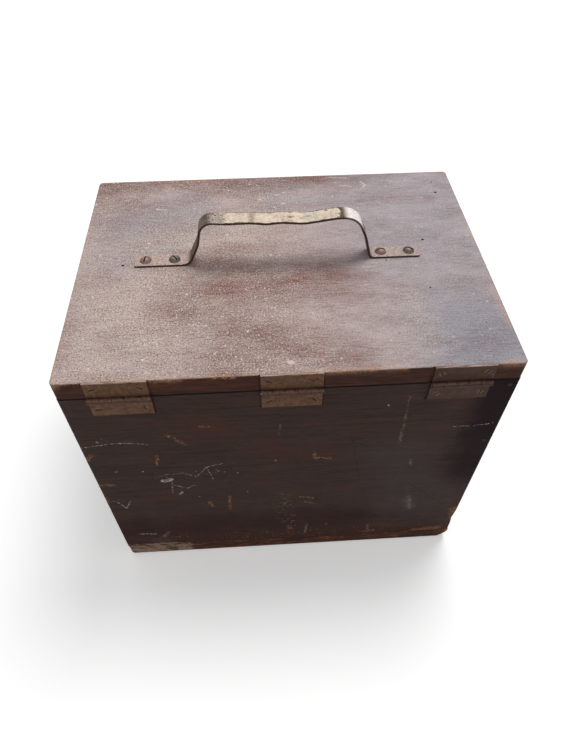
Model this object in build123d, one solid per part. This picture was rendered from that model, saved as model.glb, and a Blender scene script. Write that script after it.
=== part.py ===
from build123d import *
import math
import os

# A carrying box of solid boards with a hinged lid.
# Millimetres. +Z is up, +X runs along the length, and the front, with its hook catches, faces -Y.
# The three butt hinges are on the back, which faces +Y. The origin is at the middle of the bottom face.

# Boards
box_length = 380.0
box_depth = 285.0
bottom_thickness = 22.0
wall_height = 281.2
wall_thickness = 14.0
corner_tongue = 4.5          # what the long walls' rabbets leave over the end walls
lid_thickness = 19.5
lid_gap = 0.3                # between the walls and the closed lid
lid_end_overhang = 0.5       # how far the lid stands proud of each end wall
lid_edge_radius = 1.6
lid_corner_radius = 4.0
wall_edge_radius = 2.0
bottom_edge_radius = 5.0
bottom_corner_radius = 5.0
# The bottom board's back left corner is worn away from below, up to the seam with the walls
worn_along_back = 25.0
worn_along_end = 11.0
# The wall's upright arris above it is chipped: heights above the ground, and depths in across the corner
chip_bottom = 28.0
chip_top = 81.0
chip_step = 49.0
chip_depth = 3.1
chip_upper_depth = 2.1

# Cut brads: square nails that taper all along, driven flush
nail_head = 3.4
nail_tip = 1.2
corner_nail_length = 42.0
corner_nails_per_joint = 4
corner_nail_low = 24.0       # from the walls' lower edge
corner_nail_high = 8.0       # from the walls' upper edge
bottom_nail_length = 48.0
bottom_nails_per_long_wall = 4
bottom_nails_per_end_wall = 2
bottom_nail_end_inset = 55.0

# Butt hinges, laid flat on the back and let a little into the wood
hinge_length = 50.8
hinge_end_inset = 50.0       # from the box's end to the middle of the outer hinges
hinge_leaf_width = 20.5      # from the pin's axis to the leaf's free edge
hinge_leaf_thickness = 1.6
hinge_barrel_radius = 2.7
hinge_pin_radius = 1.3
hinge_pin_clearance = 0.05
hinge_pin_proud = 0.5
hinge_knuckles = 5
hinge_knuckle_gap = 0.3
hinge_barrel_clearance = 0.4
hinge_drop = 1.1             # the pin's axis lies this far below the walls' upper edge
hinge_let_in = 0.6
hinge_screw_inset = 6.7      # from the leaf's end
hinge_screw_height = 12.8    # from the pin's axis
recess_fit = 0.1
# How much longer each recess was cut than its leaf, at the -X end and at the +X end
recess_slack = {"left": (0.2, 2.4), "middle": (0.9, 1.6), "right": (2.0, 0.2)}

# Countersunk hinge screws
hinge_screw_head = 6.2
hinge_screw_shank = 3.0
hinge_screw_length = 11.5
hinge_slot_width = 0.9
hinge_slot_depth = 0.6

# Strap handle, one bent strip of steel. Distances are from the lid's middle, heights from the lid's top
strap_width = 15.9
strap_thickness = 2.0
handle_back_offset = 2.7     # the strap lies this far in front of the lid's middle line
handle_grip_height = 46.0
leg_knee_radius = 35.0
foot_corner_cut = 1.2
# The two legs were bent by hand and differ
right_foot_bend = 86.5
right_foot_bend_radius = 11.0
right_leg_knee = 76.3
right_leg_knee_height = 22.5
right_grip_bend = 72.0
right_grip_bend_radius = 12.0
left_foot_bend = 82.8
left_foot_bend_radius = 6.0
left_leg_knee = 77.3
left_leg_knee_height = 23.0
left_grip_bend = 67.1
left_grip_bend_radius = 18.0
# The grip is bent wavy by long use: places along it, and how far it lies below its ends there
grip_wave = [(50.0, 1.8), (28.0, 1.7), (14.0, 3.5), (1.0, 2.3), (-20.0, 4.2), (-49.0, 0.0)]
grip_wave_radius = 30.0

# Round-head handle screws
handle_screw_head = 11.0
handle_screw_head_height = 3.4
handle_screw_shank = 5.0
handle_screw_length = 18.0
handle_slot_width = 1.4
handle_slot_depth = 1.7
handle_screw_tip_inset = 10.0
handle_screw_spacing = 27.0
right_screw_from_bend = 14.2
left_screw_from_bend = 11.2

# Hook catches on the front: each hook turns on one screw and closes over the shank of another
catch_end_inset = 72.0       # from the box's end to the middle of a catch
hook_pivot_drop = 14.0       # from the walls' upper edge down to the pivot
hook_thickness = 1.6
hook_side_gap = 0.3
hook_eye_radius = 5.0
hook_shank_width = 5.0
hook_nose_radius = 6.4
hook_thumb_radius = 3.2
hook_thumb_reach = 8.5
hook_slot_clearance = 0.25
pivot_screw_shank = 3.5
keeper_screw_shank = 3.0
pivot_clearance = 0.06
catch_screw_head = 6.8
catch_screw_head_height = 1.6
catch_screw_depth = 11.0     # how far a catch screw goes into the wood
catch_slot_width = 0.9
catch_slot_depth = 0.8

# Levels and places that follow from the sizes above
wall_bottom = bottom_thickness
wall_top = wall_bottom + wall_height
lid_bottom = wall_top + lid_gap
lid_top = lid_bottom + lid_thickness
half_length = box_length / 2
half_depth = box_depth / 2
end_wall_middle = half_length - wall_thickness / 2
long_wall_middle = half_depth - wall_thickness / 2
pin_height = wall_top - hinge_drop
pin_offset = half_depth - hinge_let_in + hinge_barrel_radius
leaf_face = pin_offset - hinge_barrel_radius + hinge_leaf_thickness
hinge_places = {
    "left": -(half_length - hinge_end_inset),
    "middle": 0.0,
    "right": half_length - hinge_end_inset,
}
catch_places = {
    "left": -(half_length - catch_end_inset),
    "right": half_length - catch_end_inset,
}
right_inner_screw = right_foot_bend + right_screw_from_bend
left_inner_screw = left_foot_bend + left_screw_from_bend
foot_past_inner_screw = handle_screw_spacing + handle_screw_tip_inset
right_foot_tip = right_inner_screw + foot_past_inner_screw
left_foot_tip = left_inner_screw + foot_past_inner_screw
hook_pivot_height = wall_top - hook_pivot_drop
keeper_height = lid_bottom + lid_thickness / 2
hook_reach = keeper_height - hook_pivot_height
front_face = -half_depth
hook_middle = front_face - hook_side_gap - hook_thickness / 2
catch_screw_seat = hook_thickness + 2 * hook_side_gap
catch_screw_top = catch_screw_seat + catch_screw_head_height

# Turns that aim a fastener drawn along +Z, head outwards, at each face
OUT_OF_BACK = Rot(-90, 0, 0)
OUT_OF_FRONT = Rot(90, 0, 0)
OUT_OF_BOTTOM = Rot(180, 0, 0)


def turned(profile):
    """A solid of revolution about Z from (radius, height) points."""
    return revolve(make_face(Plane.XZ * Polyline(*profile, close=True)), Axis.Z)


def edges_at(solid, axis, inside):
    """The solid's edges along an axis whose middle passes the test."""
    return solid.edges().filter_by(axis).filter_by(lambda edge: inside(edge @ 0.5))


def group(solids):
    """Separate solids kept together in one node."""
    return Compound(children=list(solids))


# Fasteners: each is drawn with its head's top at Z 0, and its blank also cuts the hole that it fills

def nail_blank(length):
    return loft([Rectangle(nail_head, nail_head), Pos(0, 0, -length) * Rectangle(nail_tip, nail_tip)])


def countersunk_blank(head_diameter, shank_diameter, length):
    head = head_diameter / 2
    shank = shank_diameter / 2
    return turned([(0, 0), (head, 0), (shank, shank - head), (shank, -length), (0, -length)])


def slotted(blank, top, slot_width, slot_depth, turn):
    """The screw with a slot across its head, turned about its own axis."""
    reach = blank.bounding_box().size.X + 1
    slot = Box(reach, slot_width, 2 * slot_depth)
    return blank - Pos(0, 0, top) * Rot(0, 0, turn) * slot


def round_head_blank():
    """A round-head screw, seated at Z 0 with its domed head above."""
    head = handle_screw_head / 2
    shank = handle_screw_shank / 2
    top = handle_screw_head_height
    dome = RadiusArc((0, top), (head, 0), (head ** 2 + top ** 2) / (2 * top))
    tip = -handle_screw_length
    stem = Polyline((head, 0), (shank, 0), (shank, tip), (0, tip), (0, top))
    return revolve(make_face(Plane.XZ * (dome + stem)), Axis.Z)


def cheese_head_blank(shank_diameter):
    """A flat-topped catch screw that leaves the wood at Z 0 and has its head clear of the hook."""
    head = catch_screw_head / 2
    shank = shank_diameter / 2
    return turned([
        (0, catch_screw_top), (head, catch_screw_top), (head, catch_screw_seat), (shank, catch_screw_seat),
        (shank, -catch_screw_depth), (0, -catch_screw_depth),
    ])


corner_nail_blank = nail_blank(corner_nail_length)
bottom_nail_blank = nail_blank(bottom_nail_length)
hinge_screw_blank = countersunk_blank(hinge_screw_head, hinge_screw_shank, hinge_screw_length)
handle_screw_blank = round_head_blank()
pivot_screw_blank = cheese_head_blank(pivot_screw_shank)
keeper_screw_blank = cheese_head_blank(keeper_screw_shank)


# Where the fasteners go

hinge_screw_span = hinge_length / 2 - hinge_screw_inset
lid_hinge_screws = [
    Pos(x + side * hinge_screw_span, leaf_face, pin_height + hinge_screw_height) * OUT_OF_BACK
    for x in hinge_places.values() for side in (-1, 1)
]
body_hinge_screws = [
    Pos(x + side * hinge_screw_span, leaf_face, pin_height - hinge_screw_height) * OUT_OF_BACK
    for x in hinge_places.values() for side in (-1, 1)
]
lid_hinge_slot_turns = [62, 118, 35, 140, 155, 20]
body_hinge_slot_turns = [80, 45, 130, 25, 100, 10]

handle_screw_places = [
    Pos(side * (inner + step), -handle_back_offset, lid_top + strap_thickness)
    for side, inner in ((-1, left_inner_screw), (1, right_inner_screw)) for step in (handle_screw_spacing, 0)
]
handle_slot_turns = [150, 5, 75, -48]


pivot_screws = [Pos(x, front_face, hook_pivot_height) * OUT_OF_FRONT for x in catch_places.values()]
keeper_screws = [Pos(x, front_face, keeper_height) * OUT_OF_FRONT for x in catch_places.values()]
pivot_slot_turns = [70, 15]
keeper_slot_turns = [40, 160]

nail_rise = (wall_height - corner_nail_low - corner_nail_high) / (corner_nails_per_joint - 1)
corner_nail_heights = [
    wall_bottom + corner_nail_low + step * nail_rise for step in range(corner_nails_per_joint)
]
corner_nails = [
    Pos(side * end_wall_middle, face * half_depth, height) * turn
    for face, turn in ((1, OUT_OF_BACK), (-1, OUT_OF_FRONT))
    for side in (-1, 1)
    for height in corner_nail_heights
]


def spread(count, half_span):
    """Evenly spaced places from -half_span to half_span."""
    return [half_span * (2 * step / (count - 1) - 1) for step in range(count)]


bottom_nails = [
    Pos(x, side * long_wall_middle, 0) * OUT_OF_BOTTOM
    for side in (-1, 1)
    for x in spread(bottom_nails_per_long_wall, half_length - bottom_nail_end_inset)
] + [
    Pos(side * end_wall_middle, y, 0) * OUT_OF_BOTTOM
    for side in (-1, 1)
    for y in spread(bottom_nails_per_end_wall, half_depth - bottom_nail_end_inset)
]


def cut_for(solid, blank, places):
    """The solid with a hole of the fastener's own shape at each place."""
    for place in places:
        solid -= place * blank
    return solid


# Hinges

def hinge_recesses():
    """What is cut from the boards for the leaves and the barrels."""
    cuts = []
    leaf_reach = hinge_leaf_width + recess_fit
    for name, x in hinge_places.items():
        slack_low, slack_high = recess_slack[name]
        length = hinge_length + slack_low + slack_high
        middle = x + (slack_high - slack_low) / 2
        floor = half_depth - hinge_let_in
        leaves = Box(length, hinge_let_in * 2, 2 * leaf_reach)
        cuts.append(Pos(middle, floor + hinge_let_in, pin_height) * leaves)
        barrel = Cylinder(hinge_barrel_radius + hinge_barrel_clearance, length, rotation=(0, 90, 0))
        cuts.append(Pos(middle, pin_offset, pin_height) * barrel)
    return cuts


def knuckle_span(index):
    """Where a knuckle starts and ends along the barrel."""
    pitch = hinge_length / hinge_knuckles
    start = index * pitch - hinge_length / 2
    first = start + (hinge_knuckle_gap / 2 if index > 0 else 0)
    last = start + pitch - (hinge_knuckle_gap / 2 if index < hinge_knuckles - 1 else 0)
    return first, last


def hinge_leaf(owned, bore_radius):
    """A leaf rising from the pin's axis, with the knuckles that belong to it."""
    back = -hinge_barrel_radius
    plate = Pos(0, back + hinge_leaf_thickness / 2, hinge_leaf_width / 2) * Box(
        hinge_length, hinge_leaf_thickness, hinge_leaf_width)
    free = hinge_barrel_radius + hinge_barrel_clearance
    for index in range(hinge_knuckles):
        if index not in owned:
            pitch = hinge_length / hinge_knuckles
            start = index * pitch - hinge_length / 2 - hinge_knuckle_gap / 2
            width = pitch + hinge_knuckle_gap
            gap = Box(width, 4 * hinge_barrel_radius, 2 * free)
            plate -= Pos(start + width / 2, 0, 0) * gap
    leaf = plate
    for index in owned:
        first, last = knuckle_span(index)
        knuckle = Cylinder(hinge_barrel_radius, last - first, rotation=(0, 90, 0))
        leaf += Pos((first + last) / 2, 0, 0) * knuckle
    leaf -= Cylinder(bore_radius, hinge_length + 2, rotation=(0, 90, 0))
    return leaf


def hinge_pin():
    """A pin whose ends stand just proud of the barrel."""
    return Cylinder(hinge_pin_radius, hinge_length + 2 * hinge_pin_proud, rotation=(0, 90, 0))


def make_hinges(parts):
    odd = [index for index in range(hinge_knuckles) if index % 2 == 1]
    even = [index for index in range(hinge_knuckles) if index % 2 == 0]
    lid_leaf = hinge_leaf(odd, hinge_pin_radius + hinge_pin_clearance)
    body_leaf = mirror(hinge_leaf(even, hinge_pin_radius), Plane.XY)
    for name, x in hinge_places.items():
        place = Pos(x, pin_offset, pin_height)
        parts[f"hinge_{name}_lid_leaf"] = cut_for(place * lid_leaf, hinge_screw_blank, lid_hinge_screws)
        parts[f"hinge_{name}_body_leaf"] = cut_for(place * body_leaf, hinge_screw_blank, body_hinge_screws)
        parts[f"hinge_{name}_pin"] = place * hinge_pin()
    for node, places, turns in (
        ("hinge_screws_lid", lid_hinge_screws, lid_hinge_slot_turns),
        ("hinge_screws_body", body_hinge_screws, body_hinge_slot_turns),
    ):
        parts[node] = group(
            place * slotted(hinge_screw_blank, 0, hinge_slot_width, hinge_slot_depth, turn)
            for place, turn in zip(places, turns)
        )


# Boards

def long_wall(side):
    """The front or back wall, rabbeted at both ends to take the end walls."""
    wall = Box(box_length, wall_thickness, wall_height)
    wall = fillet(edges_at(wall, Axis.Z, lambda p: p.Y * side > 0), wall_edge_radius)
    rabbet = Box(wall_thickness, wall_thickness - corner_tongue, wall_height)
    inner = -side * corner_tongue / 2
    for end in (-1, 1):
        wall -= Pos(end * (half_length - wall_thickness / 2), inner, 0) * rabbet
    wall = Pos(0, side * long_wall_middle, wall_bottom + wall_height / 2) * wall
    wall = cut_for(wall, corner_nail_blank, corner_nails)
    return cut_for(wall, bottom_nail_blank, bottom_nails)


def end_wall(side):
    """An end wall, held in the long walls' rabbets."""
    wall = Box(wall_thickness, box_depth - 2 * corner_tongue, wall_height)
    wall = Pos(side * end_wall_middle, 0, wall_bottom + wall_height / 2) * wall
    wall = cut_for(wall, corner_nail_blank, corner_nails)
    return cut_for(wall, bottom_nail_blank, bottom_nails)


def back_left_corner(height, inward):
    """A plane across the box's back left corner: its X axis runs level, inward from the arris."""
    return Plane(origin=(-half_length, half_depth, height), x_dir=inward, z_dir=inward.cross(Vector(0, 0, 1)))


def worn_corner():
    """What wear took off the bottom board's corner: all that lies outside an elliptical curve."""
    across = Vector(worn_along_end, -worn_along_back, 0).normalized()
    depth = worn_along_back * worn_along_end / math.hypot(worn_along_back, worn_along_end)
    below = Pos(depth / 2, -bottom_thickness / 2) * Rectangle(depth, bottom_thickness)
    profile = below - Pos(depth, 0) * Ellipse(depth, bottom_thickness)
    return extrude(back_left_corner(bottom_thickness, across) * profile, box_depth / 2, both=True)


def arris_chip():
    """The splinter that broke off the back wall's upright arris."""
    outline = Polyline(
        (0, chip_bottom), (chip_depth, chip_step), (chip_upper_depth, chip_step), (0, chip_top), close=True)
    inward = Vector(1, -1, 0).normalized()
    return extrude(back_left_corner(0, inward) * make_face(outline), wall_thickness, both=True)


def bottom_board():
    """The bottom, nailed up into the walls, with its lower arris rounded and one corner worn away."""
    board = Box(box_length, box_depth, bottom_thickness)
    is_whole = lambda p: p.X > 0 or p.Y < 0
    board = fillet(edges_at(board, Axis.Z, is_whole), bottom_corner_radius)
    board = fillet(board.faces().sort_by(Axis.Z)[0].edges(), bottom_edge_radius)
    board = Pos(0, 0, bottom_thickness / 2) * board - worn_corner()
    return cut_for(board, bottom_nail_blank, bottom_nails)


def lid_board():
    """The lid, one wide board, recessed at the back for the hinges."""
    board = Box(box_length + 2 * lid_end_overhang, box_depth, lid_thickness)
    board = fillet(board.edges().filter_by(Axis.Z), lid_corner_radius)
    board = fillet(board.faces().sort_by(Axis.Z)[-1].edges(), lid_edge_radius)
    board = Pos(0, 0, lid_bottom + lid_thickness / 2) * board
    for recess in hinge_recesses():
        board -= recess
    board = cut_for(board, hinge_screw_blank, lid_hinge_screws)
    board = cut_for(board, keeper_screw_blank, keeper_screws)
    return cut_for(board, handle_screw_blank, handle_screw_places)


def make_boards(parts):
    back = long_wall(1) - arris_chip()
    for recess in hinge_recesses():
        back -= recess
    parts["back_wall"] = cut_for(back, hinge_screw_blank, body_hinge_screws)
    parts["front_wall"] = cut_for(long_wall(-1), pivot_screw_blank, pivot_screws)
    parts["left_end_wall"] = end_wall(-1)
    parts["right_end_wall"] = end_wall(1)
    parts["bottom_board"] = bottom_board()
    parts["lid_board"] = lid_board()
    parts["corner_nails"] = group(place * corner_nail_blank for place in corner_nails)
    parts["bottom_nails"] = group(place * bottom_nail_blank for place in bottom_nails)


# Handle

def handle_line():
    """The strap's middle line, from the right foot's tip over the grip to the left foot's tip."""
    foot = strap_thickness / 2
    points = [
        (right_foot_tip, foot),
        (right_foot_bend, foot),
        (right_leg_knee, right_leg_knee_height),
        (right_grip_bend, handle_grip_height),
    ]
    points += [(place, handle_grip_height - drop) for place, drop in grip_wave]
    points += [
        (-left_grip_bend, handle_grip_height),
        (-left_leg_knee, left_leg_knee_height),
        (-left_foot_bend, foot),
        (-left_foot_tip, foot),
    ]
    radii = [right_foot_bend_radius, leg_knee_radius, right_grip_bend_radius]
    radii += [grip_wave_radius] * len(grip_wave)
    radii += [left_grip_bend_radius, leg_knee_radius, left_foot_bend_radius]
    return FilletPolyline(*points, radius=radii)


def make_handle(parts):
    strap = extrude(Plane.XZ * trace(handle_line(), strap_thickness), strap_width / 2, both=True)
    at_a_tip = lambda p: p.X > right_foot_tip - 0.1 or p.X < 0.1 - left_foot_tip
    tips = edges_at(strap, Axis.Z, at_a_tip)
    strap = chamfer(tips, foot_corner_cut)
    strap = Pos(0, -handle_back_offset, lid_top) * strap
    parts["handle_strap"] = cut_for(strap, handle_screw_blank, handle_screw_places)
    top = handle_screw_head_height
    parts["handle_screws"] = group(
        place * slotted(handle_screw_blank, top, handle_slot_width, handle_slot_depth, turn)
        for place, turn in zip(handle_screw_places, handle_slot_turns)
    )


# Hook catches: drawn in the XZ plane, and latched, with the hook standing up

def hook_outline(lead):
    """The flat hook: eye, shank, nose with its slot, and thumb piece. It closes towards lead."""
    shank = Pos(0, hook_reach / 2) * Rectangle(hook_shank_width, hook_reach)
    nose = Pos(0, hook_reach) * Circle(hook_nose_radius)
    thumb = Pos(0, hook_reach + hook_thumb_reach) * Circle(hook_thumb_radius)
    neck = Pos(0, hook_reach + hook_thumb_reach / 2) * Rectangle(hook_thumb_radius, hook_thumb_reach)
    outline = Circle(hook_eye_radius) + shank + nose + thumb + neck
    slot_half = keeper_screw_shank / 2 + hook_slot_clearance
    ring = Circle(hook_reach + slot_half) - Circle(hook_reach - slot_half)
    mouth = Pos(lead * hook_nose_radius, hook_reach) * Rectangle(2 * hook_nose_radius, 4 * slot_half)
    slot = (ring & mouth) + Pos(0, hook_reach) * Circle(slot_half)
    return outline - slot - Circle(pivot_screw_shank / 2 + pivot_clearance)


def hook(lead):
    return extrude(Plane.XZ * hook_outline(lead), hook_thickness / 2, both=True)


def make_catches(parts):
    for index, (name, x) in enumerate(catch_places.items()):
        lead = 1 if x > 0 else -1
        hanging = Rot(0, 180, 0) * hook(lead)
        parts[f"hook_{name}"] = Pos(x, hook_middle, hook_pivot_height) * hanging
        for node, blank, place, turn in (
            (f"pivot_screw_{name}", pivot_screw_blank, pivot_screws[index], pivot_slot_turns[index]),
            (f"keeper_screw_{name}", keeper_screw_blank, keeper_screws[index], keeper_slot_turns[index]),
        ):
            parts[node] = place * slotted(blank, catch_screw_top, catch_slot_width, catch_slot_depth, turn)


def build():
    parts = {}
    make_boards(parts)
    make_hinges(parts)
    make_handle(parts)
    make_catches(parts)
    return parts


os.makedirs("parts", exist_ok=True)
for node, shape in build().items():
    export_step(shape, f"parts/{node}.step")
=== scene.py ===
import math

import bpy
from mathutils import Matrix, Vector


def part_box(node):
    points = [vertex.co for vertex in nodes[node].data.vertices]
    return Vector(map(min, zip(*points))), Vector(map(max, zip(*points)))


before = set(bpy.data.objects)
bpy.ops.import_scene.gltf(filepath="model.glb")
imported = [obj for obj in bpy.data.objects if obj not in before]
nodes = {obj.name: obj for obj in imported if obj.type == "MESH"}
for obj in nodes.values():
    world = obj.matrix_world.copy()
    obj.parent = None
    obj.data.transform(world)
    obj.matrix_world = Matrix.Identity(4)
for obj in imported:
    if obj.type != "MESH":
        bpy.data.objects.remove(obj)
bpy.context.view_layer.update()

# Places and sizes are in millimetres, as in the CAD, until they reach Blender.
MM = 0.001


def box_mm(node):
    """The lowest and highest corner of a CAD node."""
    return [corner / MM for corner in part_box(node)]


WALL_LOW, WALL_HIGH = box_mm("back_wall")
LID_LOW, LID_HIGH = box_mm("lid_board")
BOTTOM_LOW, BOTTOM_HIGH = box_mm("bottom_board")
HANDLE_LOW, HANDLE_HIGH = box_mm("handle_strap")
BACK_FACE = WALL_HIGH.y
LID_TOP = LID_HIGH.z
WHITE = (1.0, 1.0, 1.0, 1.0)


# Camera and lamps

PHOTO_HEIGHT = 756
FOCAL_PIXELS = 581.0
SENSOR = 36.0
NEAREST_SEEN = 20.0
CAMERA_PLACE = (24.55, 437.64, 672.51)
CAMERA_TURN = (39.828, 0.050, 176.550)


def make_camera():
    data = bpy.data.cameras.new("camera")
    data.sensor_width = SENSOR
    data.lens = SENSOR * FOCAL_PIXELS / PHOTO_HEIGHT
    data.clip_start = NEAREST_SEEN * MM
    camera = bpy.data.objects.new("camera", data)
    camera.location = Vector(CAMERA_PLACE) * MM
    camera.rotation_euler = [math.radians(angle) for angle in CAMERA_TURN]
    bpy.context.scene.collection.objects.link(camera)
    bpy.context.scene.camera = camera


def make_lamp(name, place, target, size, watts):
    """A round lamp that points from its place at a target."""
    data = bpy.data.lights.new(name, "AREA")
    data.shape = "DISK"
    data.size = size * MM
    data.energy = watts
    lamp = bpy.data.objects.new(name, data)
    lamp.location = Vector(place) * MM
    lamp.rotation_euler = (Vector(target) - Vector(place)).to_track_quat("-Z", "Y").to_euler()
    bpy.context.scene.collection.objects.link(lamp)


def make_lamps():
    make_lamp("sky", place=(-400, -450, 2000), target=(0, 0, 300), size=850, watts=20)
    make_lamp("fill", place=(500, 2200, 1200), target=(0, 0, 200), size=1400, watts=10)


# Shader nodes

def srgb(red, green, blue):
    """A colour given by its 0 to 255 screen values, in linear light."""
    def linear(value):
        value /= 255
        return value / 12.92 if value <= 0.04045 else ((value + 0.055) / 1.055) ** 2.4
    return (linear(red), linear(green), linear(blue), 1.0)


class NodeTree:
    """Nodes and the sums they do. Inputs may be numbers, colours or other nodes' outputs."""

    def __init__(self, tree):
        self.tree = tree
        tree.nodes.clear()

    def add(self, kind, inputs=None, **settings):
        node = self.tree.nodes.new(kind)
        for name, value in settings.items():
            setattr(node, name, value)
        for key, value in (inputs or {}).items():
            if isinstance(value, bpy.types.NodeSocket):
                self.tree.links.new(value, node.inputs[key])
            else:
                node.inputs[key].default_value = value
        return node

    def number(self, operation, a, b=0.0, c=0.0):
        return self.add("ShaderNodeMath", {0: a, 1: b, 2: c}, operation=operation).outputs[0]

    def chain(self, operation, values):
        """All the values joined by one operation, from the first to the last."""
        result = values[0]
        for value in values[1:]:
            result = self.number(operation, result, value)
        return result

    def total(self, *values):
        return self.chain("ADD", values)

    def product(self, *values):
        return self.chain("MULTIPLY", values)

    def largest(self, *values):
        return self.chain("MAXIMUM", values)

    def smallest(self, *values):
        return self.chain("MINIMUM", values)

    def minus(self, a, b):
        return self.number("SUBTRACT", a, b)

    def apart(self, a, b):
        """How far apart two numbers are."""
        return self.number("ABSOLUTE", self.minus(a, b))

    def either_way(self, noise, reach):
        """Noise from 0 to 1, turned into a push of up to that reach one way or the other."""
        return self.number("MULTIPLY_ADD", noise, 2 * reach, -reach)

    def vector(self, operation, a, b=(0.0, 0.0, 0.0), scale=1.0):
        node = self.add("ShaderNodeVectorMath", {0: a, 1: b, 3: scale}, operation=operation)
        scalar = operation in ("DOT_PRODUCT", "DISTANCE", "LENGTH")
        return node.outputs["Value" if scalar else "Vector"]

    def step(self, value, low, high):
        """0 at low, 1 at high, smooth between. Low may be the larger."""
        ends = {"Value": value, "From Min": low, "From Max": high}
        node = self.add("ShaderNodeMapRange", ends, interpolation_type="SMOOTHSTEP", clamp=False)
        return node.outputs["Result"]

    def between(self, factor, a, b):
        """The number a where the factor is 0, and b where it is 1."""
        ends = {"Value": factor, "To Min": a, "To Max": b}
        return self.add("ShaderNodeMapRange", ends, clamp=False).outputs["Result"]

    def mix(self, factor, a, b):
        """The colour a where the factor is 0, and b where it is 1."""
        return self.add("ShaderNodeMix", {0: factor, 6: a, 7: b}, data_type="RGBA").outputs[2]

    def coat(self, colour, paint, *shares):
        """The colour with paint over it, as thick as the product of the shares, from 0 to 1."""
        return self.mix(self.product(*shares), colour, paint)


class Shader(NodeTree):
    """One material. Each noise, field of specks and set of strokes takes the next seed."""

    SEED_STEP = 7.31

    def __init__(self, name, seed=0.0):
        self.material = bpy.data.materials.new(name)
        self.material.use_nodes = True
        super().__init__(self.material.node_tree)
        self.seed = seed
        coordinates = self.add("ShaderNodeTexCoord").outputs
        self.place = self.vector("SCALE", coordinates["Object"], scale=1 / MM)
        self.x, self.y, self.z = self.add("ShaderNodeSeparateXYZ", {0: self.place}).outputs
        self.normal = self.add("ShaderNodeSeparateXYZ", {0: coordinates["Normal"]}).outputs

    def noise(self, size, detail, roughness, distortion=0.0):
        """Noise from 0 to 1 with features of that size: one number, or one for each axis."""
        sizes = (size,) * 3 if isinstance(size, (int, float)) else size
        self.seed += self.SEED_STEP
        shift = (self.seed, -self.seed, 0.37 * self.seed)
        place = self.vector("ADD", self.vector("DIVIDE", self.place, sizes), shift)
        node = self.add("ShaderNodeTexNoise", {
            "Vector": place, "Scale": 1.0, "Detail": detail,
            "Roughness": roughness, "Distortion": distortion,
        })
        return node.outputs["Fac"]

    def specks(self, size, share, reach):
        """Scattered dots in that share of the cells of that size. Reach is a part of a cell."""
        self.seed += self.SEED_STEP
        place = self.wobbled(0.15 * size * reach + 0.25, 1.3)
        place = self.vector("ADD", self.vector("SCALE", place, scale=1 / size), (self.seed,) * 3)
        cell = self.add("ShaderNodeTexVoronoi", {"Vector": place, "Scale": 1.0})
        chance = self.add("ShaderNodeSeparateColor", {0: cell.outputs["Color"]}).outputs
        kept = self.number("GREATER_THAN", chance[0], self.minus(1.0, share))
        radius = self.between(chance[1], 0.4 * reach, reach)
        inside = self.step(self.minus(cell.outputs["Distance"], radius), 0.06, -0.06)
        return self.product(kept, inside)

    def wobbled(self, amount, size):
        """The place, pushed about by up to that many millimetres, so that lines come out crooked."""
        push = self.add("ShaderNodeTexNoise", {
            "Vector": self.vector("SCALE", self.place, scale=1 / size),
            "Scale": 1.0, "Detail": 4.0, "Roughness": 0.75,
        }).outputs["Color"]
        push = self.vector("SUBTRACT", push, (0.5, 0.5, 0.5))
        return self.vector("ADD", self.place, self.vector("SCALE", push, scale=2 * amount))

    def strokes(self, marks, wobble, size, ragged, soft):
        """Where any of the marks lies. A mark is a radius and one point, or the points of a line."""
        place = self.wobbled(wobble, size)
        near = None
        for radius, *points in marks:
            for start, end in zip(points, points[1:] or points):
                distance = self.minus(self.to_line(place, Vector(start), Vector(end)), radius)
                near = distance if near is None else self.smallest(near, distance)
        rough = self.either_way(self.noise(1.6, 3.0, 0.7), 2 * ragged)
        return self.step(self.total(near, rough), soft, -soft)

    def areas(self, patches, wobble=16.0, soft=14.0):
        """Where any of the broad, soft patches lies. They are given as marks are."""
        return self.strokes(patches, wobble=wobble, size=2.2 * wobble, ragged=0.0, soft=soft)

    def to_line(self, place, start, end):
        """Distance from the line between two points, or from the point where they are one."""
        line = end - start
        if start == end:
            return self.vector("DISTANCE", place, start)
        from_start = self.vector("SUBTRACT", place, start)
        share = self.vector("DOT_PRODUCT", from_start, line / line.length_squared)
        share = self.smallest(self.largest(share, 0.0), 1.0)
        nearest = self.vector("SCALE", line, scale=share)
        return self.vector("DISTANCE", from_start, nearest)

    def facing_up(self):
        """1 on faces that look up with the lid closed, 0 on upright ones and below."""
        return self.step(self.normal[2], 0.35, 0.9)

    def finish(self, colour, roughness, relief, depth, gloss, metallic=0.0):
        """Links the surface. Relief runs from 0 to 1 and stands for that depth in millimetres."""
        bump = self.add("ShaderNodeBump", {"Height": relief, "Strength": 1.0, "Distance": depth * MM})
        shader = self.add("ShaderNodeBsdfPrincipled", {
            "Base Color": colour, "Roughness": roughness, "Metallic": metallic,
            "Specular IOR Level": gloss, "Normal": bump.outputs[0],
        })
        self.add("ShaderNodeOutputMaterial", {"Surface": shader.outputs[0]})
        return self.material


# Wood

STAIN_DARK = srgb(37, 27, 25)
STAIN = srgb(60, 46, 42)
STAIN_RED = srgb(88, 50, 39)
# A bluish colour: a random stain on most walls, and a painted sky reflection on the back wall.
BLUE_STAIN_AND_REFLECTION = srgb(74, 71, 73)
BARE_PORE = srgb(112, 78, 54)
BARE_EDGE = srgb(196, 146, 110)
BARE_INSIDE = srgb(176, 146, 110)
INSIDE_STREAK = srgb(138, 104, 70)
INSIDE_STAIN = srgb(112, 88, 66)
CHIP = srgb(196, 150, 110)
PALE_MARK = srgb(206, 198, 188)
DIRT = srgb(72, 54, 48)
NEARLY_BLACK = srgb(24, 16, 15)

# A board's outer faces, each as an axis and the end of it: 0 low, 1 high
LEFT, RIGHT = (0, 0), (0, 1)
FRONT, BACK = (1, 0), (1, 1)
UNDER, TOP = (2, 0), (2, 1)
SKIN = 3.0
FAR = 1000.0


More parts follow.
